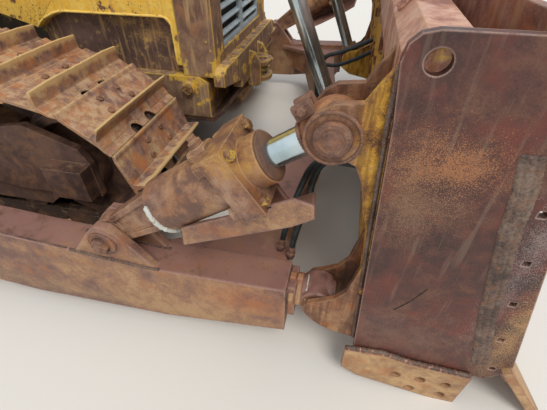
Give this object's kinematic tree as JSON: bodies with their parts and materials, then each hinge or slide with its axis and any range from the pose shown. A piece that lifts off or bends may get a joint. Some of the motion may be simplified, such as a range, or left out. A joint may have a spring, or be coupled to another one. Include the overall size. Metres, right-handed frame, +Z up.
{
  "type": "bulldozer",
  "caption": "Crawler bulldozer with an open canopy, oval tracks of tall single-bar shoes, side push arms with inner braces, tilt and lift cylinders and a worn blade.",
  "frame": {"origin": "on the ground below the middle of the machine's length and width", "axes": "+X forward to the blade, +Y to the machine's left, +Z up"},
  "size_m": [6.15, 3.3948, 3.53],
  "materials": {
    "paint_yellow": "worn yellow paint",
    "rust_plate": "dark rusted plate",
    "rust_arm": "rusted fabricated steel",
    "track_steel": "rusted forged steel",
    "edge_steel": "scoured wearing steel",
    "chrome_rod": "hard chrome",
    "dark_steel": "oily dark steel",
    "grille_grey": "faded grey paint",
    "seat_cover": "worn vinyl",
    "lamp_body": "black shells"
  },
  "bodies": {
    "tractor": {"air_precleaner": "lamp_body", "armrests": "seat_cover", "battery_case": "paint_yellow", "belly_guard": "dark_steel", "canopy_posts": "paint_yellow", "canopy_roof": "paint_yellow", "carrier_rollers": "dark_steel", "controls": "dark_steel", "dash_cowl": "paint_yellow", "door_hinges": "dark_steel", "drawbar": "rust_arm", "engine_block": "dark_steel", "equalizer_bar": "dark_steel", "exhaust_stack": "rust_arm", "final_drives": "dark_steel", "fire_wall": "dark_steel", "front_side_panels": "paint_yellow", "fuel_tank": "paint_yellow", "grille": "grille_grey", "hood": "paint_yellow", "hydraulic_tank": "paint_yellow", "idlers": "dark_steel", "lamps": "lamp_body", "main_frame": "paint_yellow", "nose_crossmember": "paint_yellow", "pivot_shafts": "dark_steel", "platform": "paint_yellow", "radiator_core": "dark_steel", "radiator_guard": "paint_yellow", "rear_case": "dark_steel", "rear_side_panels": "paint_yellow", "seat": "seat_cover", "seat_base": "dark_steel", "sprockets": "track_steel", "track_frames": "rust_plate", "track_left": "track_steel", "track_right": "track_steel", "track_rollers": "dark_steel"},
    "push_frame": {"push_arm_right": "rust_arm", "push_arm_left": "rust_arm", "brace_yoke": "rust_arm"},
    "blade": {"moldboard": "edge_steel", "blade_back_frame": "paint_yellow", "end_plates": "rust_plate", "cutting_edge": "edge_steel", "end_bits": "edge_steel", "side_wear_plates": "edge_steel", "blade_lugs": "rust_arm"},
    "lift_barrel_r": {"lift_barrel_right": "paint_yellow"},
    "lift_barrel_l": {"lift_barrel_left": "paint_yellow"},
    "lift_rod_r": {"lift_rod_right": "chrome_rod"},
    "lift_rod_l": {"lift_rod_left": "chrome_rod"},
    "tilt_barrel_r": {"tilt_barrel_right": "rust_arm", "tilt_guard_right": "rust_arm"},
    "tilt_barrel_l": {"tilt_barrel_left": "rust_arm", "tilt_guard_left": "rust_arm"},
    "tilt_rod_r": {"tilt_rod_right": "chrome_rod"},
    "tilt_rod_l": {"tilt_rod_left": "chrome_rod"},
    "door_r": {"engine_door_right": "paint_yellow"},
    "door_l": {"engine_door_left": "paint_yellow"}
  },
  "joints": [
    {"name": "lift", "type": "hinge", "parent": "tractor", "child": "push_frame", "pos_m": [-0.75, 0, 0.5], "axis": [0, -1, 0], "range_deg": [-7.6, 18.5]},
    {"name": "blade_pitch", "type": "hinge", "parent": "push_frame", "child": "blade", "pos_m": [2.12, 0, 0.403], "axis": [0, 1, 0], "range_deg": [-4, 6]},
    {"name": "lift_barrel_swing_r", "type": "hinge", "parent": "tractor", "child": "lift_barrel_r", "pos_m": [1.447, -0.645, 2.2], "axis": [0, -1, 0], "range_deg": [-6, 13.5]},
    {"name": "lift_rod_slide_r", "type": "slide", "parent": "lift_barrel_r", "child": "lift_rod_r", "axis": [-0.3884, 0, 0.9215], "range_m": [-0.38, 0.9]},
    {"name": "tilt_barrel_swing_r", "type": "hinge", "parent": "push_frame", "child": "tilt_barrel_r", "pos_m": [1.274, -1.56, 0.586], "axis": [0, 1, 0], "range_deg": [-2.2, 3]},
    {"name": "tilt_rod_slide_r", "type": "slide", "parent": "tilt_barrel_r", "child": "tilt_rod_r", "axis": [0.8304, 0, 0.5572], "range_m": [-0.05, 0.075]},
    {"name": "engine_door_r", "type": "hinge", "parent": "tractor", "child": "door_r", "pos_m": [-0.142, -0.582, 2.1], "axis": [-1, 0, 0], "range_deg": [0, 80]},
    {"name": "lift_barrel_swing_l", "type": "hinge", "parent": "tractor", "child": "lift_barrel_l", "pos_m": [1.447, 0.645, 2.2], "axis": [0, -1, 0], "range_deg": [-6, 13.5]},
    {"name": "lift_rod_slide_l", "type": "slide", "parent": "lift_barrel_l", "child": "lift_rod_l", "axis": [-0.3884, 0, 0.9215], "range_m": [-0.38, 0.9]},
    {"name": "tilt_barrel_swing_l", "type": "hinge", "parent": "push_frame", "child": "tilt_barrel_l", "pos_m": [1.274, 1.56, 0.586], "axis": [0, 1, 0], "range_deg": [-2.2, 3]},
    {"name": "tilt_rod_slide_l", "type": "slide", "parent": "tilt_barrel_l", "child": "tilt_rod_l", "axis": [0.8304, 0, 0.5572], "range_m": [-0.05, 0.075]},
    {"name": "engine_door_l", "type": "hinge", "parent": "tractor", "child": "door_l", "pos_m": [-0.142, 0.582, 2.1], "axis": [1, 0, 0], "range_deg": [0, 80]}
  ],
  "couplings": [
    {"joint": "lift_barrel_swing_r", "follows": "lift", "ratio": 0.6179},
    {"joint": "lift_rod_slide_r", "follows": "lift", "m_per_rad": 2.72},
    {"joint": "tilt_barrel_swing_r", "follows": "blade_pitch", "ratio": 0.401},
    {"joint": "tilt_rod_slide_r", "follows": "blade_pitch", "m_per_rad": 0.6189},
    {"joint": "lift_barrel_swing_l", "follows": "lift", "ratio": 0.6179},
    {"joint": "lift_rod_slide_l", "follows": "lift", "m_per_rad": 2.72},
    {"joint": "tilt_barrel_swing_l", "follows": "blade_pitch", "ratio": 0.401},
    {"joint": "tilt_rod_slide_l", "follows": "blade_pitch", "m_per_rad": 0.6189}
  ]
}
